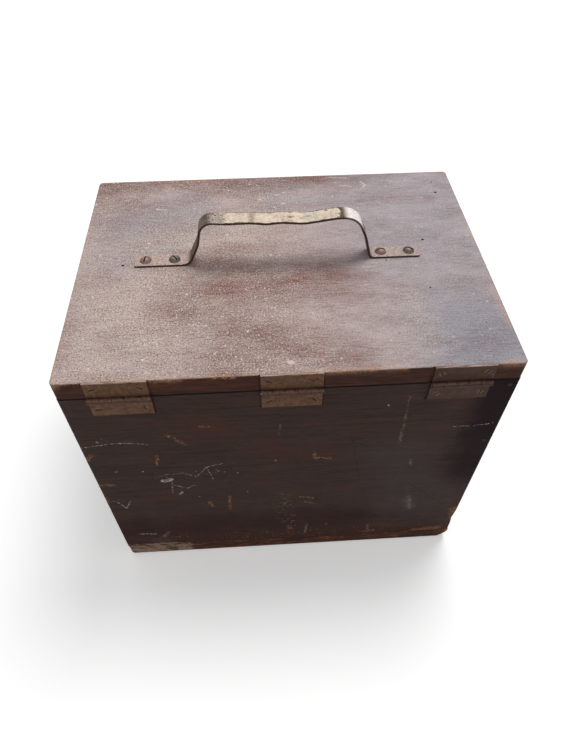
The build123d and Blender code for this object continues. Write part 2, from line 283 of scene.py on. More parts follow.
class Wood(Shader):
    """A board stained dark outside and bare inside. along is the grain's axis: 0, 1 or 2."""

    def __init__(self, name, seed, along, low, high):
        super().__init__(name, seed)
        self.low, self.high = low, high
        self.along = along
        fine = self.noise(self.sizes(0.55, 11.0), 4.0, 0.75)
        broad = self.noise(self.sizes(4.0, 90.0), 3.0, 0.6, 0.4)
        pores = self.noise(self.sizes(0.45, 5.0), 2.0, 0.6)
        self.grain = self.total(self.product(fine, 0.7), self.product(broad, 0.3))
        self.pores = self.step(pores, 0.58, 0.7)
        self.patches = self.noise(self.sizes(14.0, 60.0), 4.0, 0.62, 0.4)

    def sizes(self, across, length):
        """Feature sizes with the long one along the grain."""
        return tuple(length if axis == self.along else across for axis in range(3))

    def stain(self, redness, warm):
        """The stained wood's colour: dark streaks and pores, and redder patches where it is thin."""
        light = self.mix(warm, STAIN, STAIN_RED)
        colour = self.mix(self.step(self.grain, 0.36, 0.64), STAIN_DARK, light)
        colour = self.coat(colour, STAIN_RED, self.step(self.patches, 0.48, 0.7), redness)
        return self.coat(colour, STAIN_DARK, self.pores, 0.55)

    def bare(self, colour):
        """Bare wood of that colour, with its grain and pores."""
        dark = tuple(0.6 * value for value in colour[:3]) + (1.0,)
        shade = self.mix(self.step(self.grain, 0.38, 0.62), dark, colour)
        return self.coat(shade, BARE_PORE, self.pores, 0.4)

    def inside(self):
        """Bare wood that has darkened with age, in long streaks, soft stains and specks of dirt."""
        rings = self.noise(self.sizes(3.2, 240.0), 3.0, 0.55)
        stains = self.noise(self.sizes(34.0, 90.0), 4.0, 0.66)
        colour = self.coat(self.bare(BARE_INSIDE), INSIDE_STREAK, self.step(rings, 0.46, 0.62), 0.45)
        colour = self.coat(colour, INSIDE_STAIN, self.step(stains, 0.48, 0.7), 0.45)
        return self.coat(colour, DIRT, self.specks(13.0, 0.35, 0.08), 0.6)

    def to_arris(self, low, high):
        """Distance from the nearest edge of a box, on the box's surface."""
        depths = []
        for value, least, most in zip((self.x, self.y, self.z), low, high):
            depths.append(self.smallest(self.minus(value, least), self.minus(most, value)))
        # On the surface the least of the three depths is 0, and the middle one is the distance.
        ends = self.total(self.smallest(*depths), self.largest(*depths))
        return self.minus(self.total(*depths), ends)

    def worn_arris(self, reach, open_below=False, open_above=False):
        """Where the stain is rubbed off along the edges. An open end's edges are left out."""
        low, high = self.low.copy(), self.high.copy()
        if open_below:
            low.z -= FAR
        if open_above:
            high.z += FAR
        distance = self.to_arris(low, high)
        wander = self.total(
            self.either_way(self.noise(2.2, 5.0, 0.8), 1.5 * reach),
            self.either_way(self.noise(24.0, 3.0, 0.6), 2.5 * reach),
        )
        return self.step(self.total(distance, wander), reach, 0.4 * reach)

    def worn_corners(self, reach):
        """Where a long wall is rubbed along its upright edges, though not right under the lid."""
        below_lid = self.step(self.z, self.high.z - 3.0, self.high.z - 8.0)
        return self.product(self.worn_arris(reach, open_below=True), below_lid)

    def hinge_gap_shade_and_grime(self, colour):
        """Adds the dark upright lines at both ends of each hinge's leaves: painted shade of the gaps
        beside the leaves, and grime.
        """
        grime = self.strokes(HINGE_ENDS, wobble=0.3, size=3.0, ragged=0.1, soft=0.3)
        return self.coat(colour, NEARLY_BLACK, grime, 0.85)

    def on_skin(self, colour, *sides):
        """The colour within 3 mm of the outer faces that are named, and aged bare wood elsewhere."""
        values = (self.x, self.y, self.z)
        depths = []
        for axis, end in sides:
            if end:
                depths.append(self.minus(self.high[axis], values[axis]))
            else:
                depths.append(self.minus(values[axis], self.low[axis]))
        outside = self.step(self.smallest(*depths), SKIN + 0.4, SKIN - 0.4)
        return self.mix(outside, self.inside(), colour)

    def varnish(self, colour, roughness, *hollows, depth=0.2, gloss=0.05):
        """The finished surface, with its grain, pores and worn hollows in relief."""
        relief = self.total(self.product(self.grain, 0.5), self.product(self.pores, -0.35))
        for hollow in hollows:
            relief = self.total(relief, self.product(hollow, -0.5))
        return self.finish(colour, roughness, relief, depth, gloss)


# Marks

def marks_on(place, marks):
    """Marks put on a face. Each is a radius and one point, or the points that a line runs through."""
    return [(radius, *[place(*point) for point in points]) for radius, *points in marks]


def on_lid(*marks):
    """Marks on the lid's top, with points as (x, y)."""
    return marks_on(lambda x, y: (x, y, LID_TOP), marks)


def on_back(*marks):
    """Marks on the back wall's outer face, with points as (x, z)."""
    return marks_on(lambda x, z: (x, BACK_FACE, z), marks)


def hinge_ends():
    """A short upright line of painted gap shade and grime along both ends of each hinge's leaves."""
    radius = 0.55
    beside = 0.2
    lines = []
    for side in ("left", "middle", "right"):
        upper = box_mm(f"hinge_{side}_lid_leaf")
        lower = box_mm(f"hinge_{side}_body_leaf")
        for x in (upper[0].x - beside, upper[1].x + beside):
            lines.append((radius, (x, lower[0].z), (x, upper[1].z)))
    return on_back(*lines)


HINGE_ENDS = hinge_ends()


# Lid

LID_STAIN = srgb(134, 82, 68)
LID_DULL = srgb(116, 86, 82)
LID_GRAIN = srgb(86, 56, 49)
DUST_WARM = srgb(189, 171, 166)
# Cool dust colour, which also paints the sky's reflection towards -X.
DUST_COOL_AND_REFLECTION = srgb(170, 162, 167)
DUST_DULL = srgb(149, 147, 155)
PALE_GRAIN = srgb(224, 212, 202)
DARK_GRAIN = srgb(92, 70, 64)
PALE_FLECK = srgb(226, 216, 198)
SAND = srgb(216, 202, 176)
FADED_EDGE = srgb(206, 172, 144)
WORMHOLE = srgb(38, 30, 29)

# Patches of thin dust, where the stain shows. The patch from (104, 4) to (44, 2) is painted shadow by
# the handle's +X foot.
THIN_DUST_AND_SHADOW = on_lid(
    (26, (60, 40), (-44, 34)), (24, (48, 88), (-4, 112)), (13, (50, 130), (-50, 134)),
    (12, (104, 4), (44, 2)), (12, (98, 64), (78, 36)),
)
DULL_DUST = on_lid(
    (34, (150, -60), (96, -84)), (14, (164, -8), (110, -20)),
    (14, (38, -128), (-24, -128)), (10, (6, -94), (-58, -92)),
)
RED_STREAKS = on_lid(
    (9, (124, -140), (48, -138)), (8, (8, -128), (-50, -134)),
    (8, (-96, -96), (-158, -90)), (5, (188, 60), (186, 128)), (14, (114, 64), (66, 68)),
    (4, (150, 140), (90, 140)), (8, (60, -16), (10, -18)),
)
SANDY = on_lid(
    (18, (146, 66), (110, 100)), (15, (136, -26), (80, -34)),
    (13, (108, 14), (136, 34)), (10, (60, -36), (36, -38)), (9, (150, 124)),
    (7, (-112, 56), (-124, 112)),
)
RUBBED_EDGE = on_lid(
    (3.5, (191, 144)), (1.6, (190.5, 138), (190.5, 96)),
    (1.8, (188, 143.5), (160, 144)), (1.0, (191, 60), (191, 10)),
    (1.0, (191, -20), (191, -90)), (4, (190, -142), (176, -142)),
    (4, (132, -143), (60, -143)), (3, (38, -143), (-14, -143)),
    (3, (-52, -143), (-128, -143)), (4, (-150, -143), (-187, -142)),
    (1.2, (-191, -60), (-191, -10)), (1.2, (-191, 50), (-191, 110)), (3, (-190.5, 142)),
    (3, (66, 143.5), (46, 143.5)), (2.4, (112, 143.5), (90, 143.5)),
    (2, (-36, 143.5), (-70, 143.5)),
)
SOFT_WEAR = on_lid(
    (5, (188, 142)), (2, (190, 128), (190, 100)), (2, (190, 20), (190, -60)),
    (2, (-189, -56), (-189, -14)), (3, (-187, 50), (-188, 100)),
    (3, (-187, 141), (-172, 142)), (2, (150, 142), (90, 142)),
    (2, (-10, 142), (-90, 142)),
)
LID_SCRATCHES = on_lid(
    (0.15, (80, 18), (76, 44), (68, 78), (56, 104), (26, 141)),
    (0.35, (52, 66), (44, 72), (34, 76), (24, 77)), (0.1, (64, 126), (84, 122)),
    (0.15, (30, 78), (29, 106)), (0.2, (20, 44), (18, 56)),
)
PAINT_DROPS = on_lid(
    (1.9, (1.8, 130.4), (-0.6, 130.9)), (1.1, (-5.6, -90.5), (-8.2, -90.3)),
    (0.7, (2, -107), (-4, -107)), (0.9, (124, -88), (114, -86)),
    (0.6, (-70, -121), (-82, -118)), (0.7, (-93, -127), (-97.5, -120), (-94, -116)),
    (0.9, (-115, -141.6), (-128, -141.9), (-142, -141.7)),
    (0.5, (-60, -137), (-79, -135)), (0.9, (161, 66)), (0.8, (156, 89)),
    (0.8, (143, 42)),
)
WORMHOLES = on_lid(
    (1.4, (-170, -101)), (0.9, (-170, -121)), (1.3, (-139, -21)), (0.9, (-131, 49)),
    (1.3, (149, 1)), (0.8, (-98, 8)),
)


def lid_dullness(wood):
    """Where the dust is grey: in some patches, and towards the back corner of -X."""
    patches = wood.product(wood.areas(DULL_DUST, 18.0, 26.0), 0.55)
    corner = wood.product(wood.step(wood.x, -80.0, -150.0), wood.step(wood.y, -10.0, 105.0))
    return wood.largest(patches, corner)


def lid_stain(wood, thin):
    """The stain under the dust, and where it shows through reddish."""
    hairs = wood.noise(wood.sizes(1.5, 22.0), 3.0, 0.72)
    reddish = wood.largest(thin, wood.areas(RED_STREAKS, 9.0, 9.0))
    ruddy = wood.product(wood.step(wood.patches, 0.46, 0.6), wood.step(wood.x, -90.0, 0.0), 0.85)
    tone = wood.mix(wood.largest(reddish, ruddy), LID_DULL, LID_STAIN)
    return wood.mix(wood.step(hairs, 0.38, 0.62), LID_GRAIN, tone), reddish


def lid_dust(wood, thin, reddish, grit):
    """How much of the stain the dust hides, patch by patch, with its streaks and grains."""
    veil = wood.noise(wood.sizes(20.0, 46.0), 5.0, 0.68)
    streaks = wood.noise(wood.sizes(1.5, 12.0), 3.0, 0.7)
    front_strip = wood.product(
        wood.step(wood.total(wood.y, wood.product(veil, 40.0)), -74.0, -112.0),
        wood.between(wood.step(wood.x, -60.0, -140.0), -0.32, -0.1))
    front_corner = wood.product(
        wood.step(wood.x, 110.0, 176.0), wood.step(wood.y, -36.0, -84.0), -0.17)
    return wood.total(
        0.84,
        wood.product(thin, -0.25),
        wood.product(reddish, -0.22),
        front_corner,
        front_strip,
        wood.number("MULTIPLY_ADD", veil, 1.1, -0.56),
        wood.either_way(grit, 0.45),
        wood.either_way(streaks, 0.45))


def lid_dust_colour(wood, dull):
    """Warm dust, cooler towards -X and more so at the front, and grey where it is dull. The cool tint is
    dust colour and also a painted reflection of the sky.
    """
    # The cool tint stands for cooler dust and also paints the sky's reflection.
    cool = wood.product(
        wood.step(wood.total(wood.x, wood.product(wood.patches, 80.0)), 70.0, -90.0),
        wood.between(wood.step(wood.y, -10.0, 70.0), 1.0, 0.5))
    return wood.mix(dull, wood.mix(cool, DUST_WARM, DUST_COOL_AND_REFLECTION), DUST_DULL)


def lid_grains(wood, colour, grit, top):
    """Adds pale and dark grains, sandy patches, and flecks and dirt. They are livelier at +X."""
    lively = wood.between(wood.step(wood.x, 20.0, -70.0), 0.95, 0.28)
    colour = wood.coat(colour, PALE_GRAIN, wood.step(grit, 0.54, 0.74), lively, top)
    colour = wood.coat(colour, DARK_GRAIN, wood.step(grit, 0.46, 0.27), lively, top)
    sandy = wood.areas(SANDY, 16.0, 16.0)
    colour = wood.coat(colour, SAND, sandy, wood.step(grit, 0.5, 0.6), top, 0.5)
    cluster = wood.step(wood.noise(26.0, 3.0, 0.6), 0.4, 0.6)
    small = wood.step(wood.noise(2.1, 2.0, 0.55), 0.63, 0.69)
    flecks = wood.largest(
        wood.product(small, wood.between(cluster, 0.25, 0.8), lively),
        wood.product(wood.specks(8.5, 0.42, 0.13), wood.between(lively, 0.3, 0.95)))
    colour = wood.coat(colour, PALE_FLECK, flecks, top)
    dirt = wood.largest(
        wood.product(wood.step(wood.noise(1.7, 2.0, 0.55), 0.34, 0.28), cluster, 0.6),
        wood.product(wood.specks(11.0, 0.22, 0.07), 0.85))
    return wood.coat(colour, DIRT, dirt, top)


def lid_wear(wood, colour, grit):
    """Adds the faded and the rubbed edges, and says where the stain is rubbed off."""
    worn = wood.largest(
        wood.worn_arris(1.1, open_below=True),
        wood.strokes(RUBBED_EDGE, wobble=3.4, size=7.0, ragged=1.2, soft=0.8))
    flaked = wood.step(wood.noise(wood.sizes(2.2, 5.0), 4.0, 0.75), 0.42, 0.56)
    faded = wood.product(wood.areas(SOFT_WEAR, 4.0, 5.0), wood.step(grit, 0.3, 0.6))
    colour = wood.coat(colour, FADED_EDGE, faded, 0.5)
    return wood.coat(colour, wood.bare(BARE_EDGE), worn, flaked, 0.7), worn


def lid_marks(wood, colour, grit):
    """Adds scratches, drops of paint, wormholes and painted shade along the lid's lower edge, where it
    meets the walls, and says where the holes are.
    """
    scratches = wood.strokes(LID_SCRATCHES, wobble=2.0, size=9.0, ragged=0.5, soft=0.4)
    colour = wood.coat(colour, PALE_MARK, scratches, wood.step(grit, 0.42, 0.56), 0.5)
    paint = wood.strokes(PAINT_DROPS, wobble=1.1, size=3.0, ragged=0.2, soft=0.4)
    colour = wood.coat(colour, PALE_MARK, paint, 0.8)
    holes = wood.strokes(WORMHOLES, wobble=0.6, size=2.0, ragged=0.1, soft=0.3)
    colour = wood.coat(colour, WORMHOLE, holes)
    # Painted shade in the gap where the lid rests on the walls, along the lid's lower edge.
    gap_shade = wood.step(wood.z, LID_LOW.z + 1.1, LID_LOW.z + 0.5)
    return wood.coat(colour, NEARLY_BLACK, gap_shade), holes


def lid_material():
    wood = Wood("lid_wood", 3.0, 0, LID_LOW, LID_HIGH)
    top = wood.facing_up()
    grit = wood.noise(1.3, 2.0, 0.7)
    # Thin dust, and in one patch a painted shadow by the handle's +X foot.
    thin = wood.areas(THIN_DUST_AND_SHADOW, 22.0, 30.0)
    dull = lid_dullness(wood)
    stained, reddish = lid_stain(wood, thin)
    colour = wood.mix(top, wood.stain(0.8, 0.85), stained)
    dust = lid_dust(wood, thin, reddish, grit)
    colour = wood.coat(colour, lid_dust_colour(wood, dull), top, dust)
    colour = lid_grains(wood, colour, grit, top)
    colour, worn = lid_wear(wood, colour, grit)
    colour, holes = lid_marks(wood, colour, grit)
    colour = wood.hinge_gap_shade_and_grime(colour)
    colour = wood.on_skin(colour, LEFT, RIGHT, FRONT, BACK, TOP)
    roughness = wood.between(top, 0.55, 0.75)
    return wood.varnish(colour, roughness, holes, wood.product(worn, 0.5))


# Back wall

BAND_BROWN = srgb(48, 27, 26)
END_BROWN = srgb(32, 21, 22)
LOW_BROWN = srgb(54, 27, 22)
CHIP_DARK = srgb(150, 88, 54)
BACK_BARE = srgb(160, 112, 80)
BEIGE = srgb(164, 138, 118)
DRIP = srgb(156, 146, 112)
SMUDGE = srgb(122, 116, 126)
STRIP_END = 118.0
STRIP_TOP = 27.0

CHIPS = on_back(
    (1.6, (110, 246), (104, 240), (97, 231)), (1.2, (125, 215), (126, 199)),
    (1.6, (15, 196)), (1.4, (-24, 197), (-38, 194)), (2.0, (85, 119), (84, 112)),
    (1.5, (63, 129), (65, 104)), (1.3, (-10, 121), (-24, 117)),
    (1.3, (-16, 109), (-26, 104)), (1.6, (-4, 80)), (2.6, (0, 48), (1, 53)),
    (1.4, (27, 41)), (1.3, (-19, 56), (-18, 30)), (1.6, (-42, 53)),
    (1.3, (-85, 29), (-99, 30)), (1.2, (-90, 46), (-92, 27)),
    (1.7, (138, 54), (145, 44)), (2.6, (184, 219), (190, 211)),
    (2.2, (189, 142), (188, 132)), (1.0, (80, 258), (68, 256)),
    (1.8, (188, 166), (174, 165)), (1.2, (-22, 206), (-23, 194)),
    (1.2, (-118, 184), (-119, 176)),
)
CHIP_FIELDS = on_back(
    (8, (6, 116), (0, 40)), (8, (60, 34), (-44, 32)), (7, (-80, 32), (-110, 30)),
    (8, (150, 50), (130, 40)),
)
BARE_CORNER = on_back((7, (-187, 72), (-190, 56)), (6, (-176, 26), (-150, 22)))
PALE_SCRATCHES = on_back(
    (0.4, (190, 233), (172, 236), (150, 238), (129, 234)),
    (0.3, (133, 174), (122, 180), (118, 166), (120, 143)),
    (0.4, (122, 180), (104, 181), (92, 173), (81, 190), (66, 195)),
    (0.3, (81, 190), (76, 162)), (0.4, (118, 160), (104, 152), (96, 157)),
    (0.5, (183, 133), (177, 128), (172, 116), (165, 131)),
    (0.4, (-148, 238), (-166, 237), (-184, 240)),
)
PALE_SPOTS = on_back(
    (0.9, (173, 241)), (0.6, (163, 240)), (0.6, (151, 238)), (0.9, (-83, 275)),
    (1.0, (167, 190)), (0.8, (142, 188)), (2.6, (118, 170), (126, 168)),
    (1.3, (110, 144), (113, 141)), (0.8, (70, 182)), (0.8, (52, 176)),
    (0.9, (170, 54), (152, 52)), (0.7, (94, 133)), (0.8, (44, 138)),
)
SCATTERED = on_back((18, (116, 172), (66, 176)), (8, (176, 238), (150, 240)), (10, (174, 128)))
SMUDGES = on_back((3, (156, 35), (142, 33)), (5, (-128, 100), (-133, 84)))
DRIPS = on_back(
    (0.8, (-100, 286), (-101, 247)), (1.3, (-101, 247), (-102, 212)),
    (0.7, (10, 255), (11, 238)), (2.2, (-128, 110), (-133, 82)),
)
DARK_SCRATCHES = on_back(
    (0.3, (-104, 159), (-176, 79)), (0.25, (-133, 140), (-161, 108)),
    (0.25, (-55, 235), (-72, 143)),
)
# Patches of painted sky reflection on the back wall.
SKY_REFLECTION_PATCHES = on_back((36, (-106, 190), (-118, 120)), (22, (-150, 122), (-140, 90)))
DARK_BAND = on_back((26, (-70, 62), (200, 66)))
REDDISH = on_back((16, (86, 262), (60, 250)), (12, (40, 220), (-30, 212)), (9, (180, 296)))


def back_stain(wood, cloud):
    """Dark stain, redder in patches, with bluish patches of painted sky reflection. The wall is also
    darker low down, and high up at the -X end.
    """
    colour = wood.mix(0.03, wood.stain(0.3, 0.1), DUST_WARM)
    colour = wood.coat(colour, STAIN_RED, wood.areas(REDDISH), wood.step(cloud, 0.3, 0.6), 0.35)
    # Painted reflection of the sky, as bluish patches towards the -X end.
    colour = wood.coat(colour, BLUE_STAIN_AND_REFLECTION, wood.areas(SKY_REFLECTION_PATCHES, 22.0, 30.0), 0.3)
    colour = wood.coat(colour, BAND_BROWN, wood.areas(DARK_BAND, 14.0, 20.0), 0.7)
    wander = wood.either_way(wood.noise(24.0, 3.0, 0.6), 15.0)
    dark_end = wood.product(
        wood.step(wood.total(wood.x, wander), -142.0, -172.0),
        wood.step(wood.total(wood.z, wander), 112.0, 168.0))
    colour = wood.coat(colour, END_BROWN, dark_end, 0.95)
    low = wood.step(wood.total(wood.z, wood.either_way(cloud, 30.0)), 52.0, 22.0)
    return wood.coat(colour, LOW_BROWN, low, 0.75)


def back_chips(wood, crumbs, splinters):
    """Where the wall is chipped. Flecks are thicker low down."""
    lower = wood.product(wood.step(wood.z, 90.0, 10.0), 0.13)
    flecks = wood.step(wood.total(crumbs, lower), 0.71, 0.75)
    chips = wood.strokes(CHIPS, wobble=3.6, size=5.0, ragged=1.1, soft=1.1)
    return wood.largest(
        wood.product(chips, wood.step(splinters, 0.47, 0.58)),
        wood.product(flecks, 0.6))


def back_wear(wood, crumbs):
    """Where the upright edges and the bottom corner of -X are rubbed bare."""
    corner = wood.worn_corners(1.0)
    bare = wood.strokes(BARE_CORNER, wobble=7.0, size=14.0, ragged=1.5, soft=2.0)
    return wood.largest(corner, wood.product(bare, wood.step(crumbs, 0.4, 0.55)))


def back_pale_marks(wood, colour, crumbs, splinters):
    """Adds drips, smudges, pale scratches and spots."""
    drips = wood.strokes(DRIPS, wobble=2.4, size=8.0, ragged=1.0, soft=0.8)
    colour = wood.coat(colour, DRIP, drips, wood.step(crumbs, 0.46, 0.62), 0.45)
    scratched = wood.strokes(PALE_SCRATCHES, wobble=2.6, size=7.0, ragged=0.4, soft=0.5)
    spotted = wood.strokes(PALE_SPOTS, wobble=1.8, size=3.0, ragged=0.7, soft=0.5)
    scattered = wood.product(wood.areas(SCATTERED, 9.0, 9.0), wood.specks(4.5, 0.4, 0.16))
    pale = wood.product(wood.largest(scratched, spotted), wood.step(splinters, 0.46, 0.56))
    smudged = wood.product(wood.areas(SMUDGES, 5.0, 6.0), wood.step(splinters, 0.36, 0.6))
    colour = wood.coat(colour, SMUDGE, smudged, 0.3)
    return wood.coat(colour, PALE_MARK, wood.largest(pale, scattered), 0.75)


def back_strip(wood):
    """Where a ragged strip at the foot of the +X end has lost its stain."""
    ragged = wood.either_way(wood.noise((14.0, 14.0, 5.0), 5.0, 0.75), 7.0)
    return wood.product(
        wood.step(wood.total(wood.x, ragged), STRIP_END - 6.0, STRIP_END),
        wood.step(wood.total(wood.z, ragged), STRIP_TOP + 1.0, STRIP_TOP - 1.0),
        wood.step(wood.noise((11.0, 11.0, 5.0), 4.0, 0.72), 0.56, 0.44))


def back_wall_material():
    wood = Wood("back_wood", 21.0, 0, WALL_LOW, WALL_HIGH)
    cloud = wood.noise(36.0, 4.0, 0.65)
    colour = back_stain(wood, cloud)
    dark = wood.strokes(DARK_SCRATCHES, wobble=2.5, size=16.0, ragged=0.5, soft=0.3)
    colour = wood.coat(colour, NEARLY_BLACK, dark, 0.6)
    crumbs = wood.noise((2.2, 2.2, 1.6), 4.0, 0.75)
    splinters = wood.noise((2.6, 2.6, 1.1), 3.0, 0.65)
    chips = back_chips(wood, crumbs, splinters)
    chipped = wood.mix(wood.step(splinters, 0.5, 0.64), CHIP_DARK, CHIP)
    colour = wood.coat(colour, chipped, chips, 0.7)
    worn = back_wear(wood, crumbs)
    colour = wood.coat(colour, wood.bare(BACK_BARE), worn, 0.6)
    colour = back_pale_marks(wood, colour, crumbs, splinters)
    colour = wood.coat(colour, wood.bare(BEIGE), back_strip(wood), 0.8)
    # Painted shade in the gap under the lid, along the wall's top edge.
    gap_shade = wood.step(wood.z, WALL_HIGH.z - 1.3, WALL_HIGH.z - 0.7)
    colour = wood.coat(colour, NEARLY_BLACK, gap_shade)
    colour = wood.hinge_gap_shade_and_grime(colour)
    fields = wood.areas(CHIP_FIELDS, 18.0, 14.0)
    small_chips = wood.step(wood.noise((3.4, 3.4, 1.5), 4.0, 0.7), 0.61, 0.65)
    colour = wood.coat(colour, CHIP, fields, small_chips, 0.7)
    colour = wood.on_skin(colour, LEFT, RIGHT, BACK)
    roughness = wood.between(wood.step(cloud, 0.4, 0.7), 0.45, 0.6)
    return wood.varnish(colour, roughness, chips, worn, wood.product(dark, 0.5), gloss=0.02)


# Other boards

WALL_FOOT = srgb(78, 44, 34)
BOTTOM_PATCH = srgb(150, 100, 70)
BOTTOM_EDGE = srgb(162, 122, 90)
BOTTOM_GRIME = srgb(54, 36, 30)


def wall_material(name, node, seed, *sides):
    """A stained wall. A long one is rubbed at its corners, and a short one is dark at its joints."""
    low, high = box_mm(node)
    along = 0 if high.x - low.x > high.y - low.y else 1
    wood = Wood(name, seed, along, low, high)
    colour = wood.stain(0.5, 0.2)
    cloud = wood.noise(60.0, 4.0, 0.65)
    colour = wood.coat(colour, BLUE_STAIN_AND_REFLECTION, wood.step(cloud, 0.5, 0.75), 0.25)
    foot = wood.step(wood.total(wood.z, wood.either_way(cloud, 30.0)), 62.0, 22.0)
    colour = wood.coat(colour, WALL_FOOT, foot, 0.5)
    crumbs = wood.noise(wood.sizes(3.0, 6.0), 5.0, 0.8)
    lower = wood.product(wood.step(wood.z, 90.0, 25.0), 0.08)
    marks = wood.step(wood.total(crumbs, lower), 0.68, 0.74)
    colour = wood.coat(colour, wood.bare(CHIP), marks, 0.7)
    pale = wood.product(wood.specks(15.0, 0.3, 0.08), wood.step(cloud, 0.4, 0.6))
    colour = wood.coat(colour, PALE_MARK, pale, 0.55)
    if along == 0:
        hollow = wood.worn_corners(1.2)
        colour = wood.coat(colour, wood.bare(BARE_EDGE), hollow, 0.8)
    else:
        to_joint = wood.smallest(wood.minus(wood.y, low.y), wood.minus(high.y, wood.y))
        hollow = wood.product(wood.step(to_joint, 0.9, 0.4), 0.85)
        colour = wood.coat(colour, NEARLY_BLACK, hollow)
    colour = wood.on_skin(colour, *sides)
    roughness = wood.between(wood.step(cloud, 0.4, 0.7), 0.45, 0.6)
    return wood.varnish(colour, roughness, marks, hollow)


def bottom_material():
    """The bottom board: rubbed along its edge, blotchy below, with the pale strip's lower half."""
    wood = Wood("bottom_wood", 57.0, 0, BOTTOM_LOW, BOTTOM_HIGH)
    colour = wood.stain(0.8, 0.6)
    crumbs = wood.noise((5.0, 5.0, 3.0), 5.0, 0.78)
    patches = wood.step(wood.noise((30.0, 30.0, 7.0), 5.0, 0.75), 0.46, 0.6)
    colour = wood.coat(colour, wood.bare(BOTTOM_PATCH), patches, wood.step(crumbs, 0.4, 0.55), 0.6)
    worn = wood.worn_arris(3.4, open_above=True)
    colour = wood.coat(colour, wood.bare(BOTTOM_EDGE), worn, wood.step(crumbs, 0.3, 0.5), 0.85)
    strip = wood.product(
        wood.step(wood.total(wood.x, wood.either_way(crumbs, 12.0)), STRIP_END - 6.0, STRIP_END),
        wood.step(wood.y, 60.0, 120.0))
    colour = wood.coat(colour, wood.bare(BEIGE), strip, 0.85)
    grime = wood.step(wood.noise((10.0, 10.0, 5.0), 4.0, 0.72), 0.46, 0.58)
    colour = wood.coat(colour, BOTTOM_GRIME, grime, 0.75)
    colour = wood.on_skin(colour, LEFT, RIGHT, FRONT, BACK, UNDER)
    return wood.varnish(colour, 0.72, worn, depth=0.3)


# Nails, hinges and catches

NAIL_DARK = srgb(34, 27, 25)
NAIL_RUST = srgb(70, 48, 36)
HINGE_DARK = srgb(64, 41, 30)
HINGE_LIGHT = srgb(104, 72, 50)
HINGE_GREEN = srgb(90, 72, 44)
HINGE_RUBBED = srgb(126, 92, 66)
HINGE_SHADED = srgb(44, 27, 21)
HINGE_BY_PIN = srgb(54, 30, 24)
HINGE_DUST = srgb(122, 96, 86)
# A painted highlight for the top edge of the upper leaves.
HINGE_RIM_HIGHLIGHT = srgb(196, 168, 156)
HINGE_SCREW_DARK = srgb(60, 40, 30)
HINGE_SCREW_LIGHT = srgb(104, 76, 54)
HINGE_SCREW_SLOT = srgb(20, 13, 11)
PIN_DARK = srgb(70, 66, 64)
PIN_LIGHT = srgb(124, 116, 110)
CATCH_DARK = srgb(76, 58, 36)
CATCH_LIGHT = srgb(138, 112, 70)

PIN_LOW, PIN_HIGH = box_mm("hinge_middle_pin")
BARREL_HEIGHT = (PIN_LOW.z + PIN_HIGH.z) / 2
BARREL_RADIUS = 2.7
UPPER_LEAF_TOP = box_mm("hinge_middle_lid_leaf")[1].z
LEAF_FACE = box_mm("hinge_screws_body")[1].y


def nail_material():
    iron = Shader("nail_rust", 5.0)
    rust = iron.noise(1.4, 4.0, 0.7)
    colour = iron.mix(iron.step(rust, 0.35, 0.7), NAIL_DARK, NAIL_RUST)
    return iron.finish(colour, 0.75, rust, depth=0.1, gloss=0.2, metallic=0.2)


def hinge_material(name, seed):
    """Tarnished brass: brown, redder by the barrel, with a dusty barrel and a painted highlight along
    the upper rim, broken up like rubbed brass.
    """
    brass = Shader(name, seed)
    mottle = brass.noise(3.0, 5.0, 0.75)
    blotch = brass.noise(12.0, 3.0, 0.6)
    rubbed = brass.noise((12.0, 0.6, 0.6), 3.0, 0.65)
    colour = brass.mix(brass.step(mottle, 0.32, 0.68), HINGE_DARK, HINGE_LIGHT)
    colour = brass.coat(colour, HINGE_GREEN, brass.step(blotch, 0.5, 0.7), 0.45)
    colour = brass.coat(colour, HINGE_RUBBED, brass.step(rubbed, 0.55, 0.72), 0.35)
    # The hinge at the -X end is the darkest.
    colour = brass.coat(colour, HINGE_SHADED, brass.step(brass.x, -90.0, -118.0), 0.75)
    from_pin = brass.apart(brass.z, BARREL_HEIGHT)
    colour = brass.coat(colour, HINGE_BY_PIN, brass.step(from_pin, 7.0, 3.5), 0.55)
    on_barrel = brass.step(from_pin, BARREL_RADIUS + 0.4, BARREL_RADIUS - 0.2)
    dusty = brass.product(on_barrel, brass.facing_up(), brass.step(mottle, 0.3, 0.6))
    colour = brass.coat(colour, HINGE_DUST, dusty, 0.6)
    # Painted highlight along the upper leaves' top edge, broken up by the rubbed streaks.
    rim = brass.step(brass.z, UPPER_LEAF_TOP - 0.9, UPPER_LEAF_TOP - 0.2)
    colour = brass.coat(colour, HINGE_RIM_HIGHLIGHT, rim, brass.step(rubbed, 0.35, 0.6), 0.7)
    relief = brass.total(brass.product(mottle, 0.6), brass.product(rubbed, 0.4))
    roughness = brass.between(brass.step(blotch, 0.3, 0.7), 0.5, 0.68)
    return brass.finish(colour, roughness, relief, depth=0.08, gloss=0.2, metallic=0.2)


def hinge_screw_material():
    """Small brass screws, as brown as the leaves, and dark in their slots."""
    brass = Shader("hinge_screw", 15.0)
    mottle = brass.noise(2.0, 4.0, 0.7)
    colour = brass.mix(brass.step(mottle, 0.3, 0.7), HINGE_SCREW_DARK, HINGE_SCREW_LIGHT)
    colour = brass.coat(colour, HINGE_SCREW_SLOT, brass.step(brass.y, LEAF_FACE - 0.1, LEAF_FACE - 0.3))
    return brass.finish(colour, 0.55, mottle, depth=0.08, gloss=0.2, metallic=0.2)


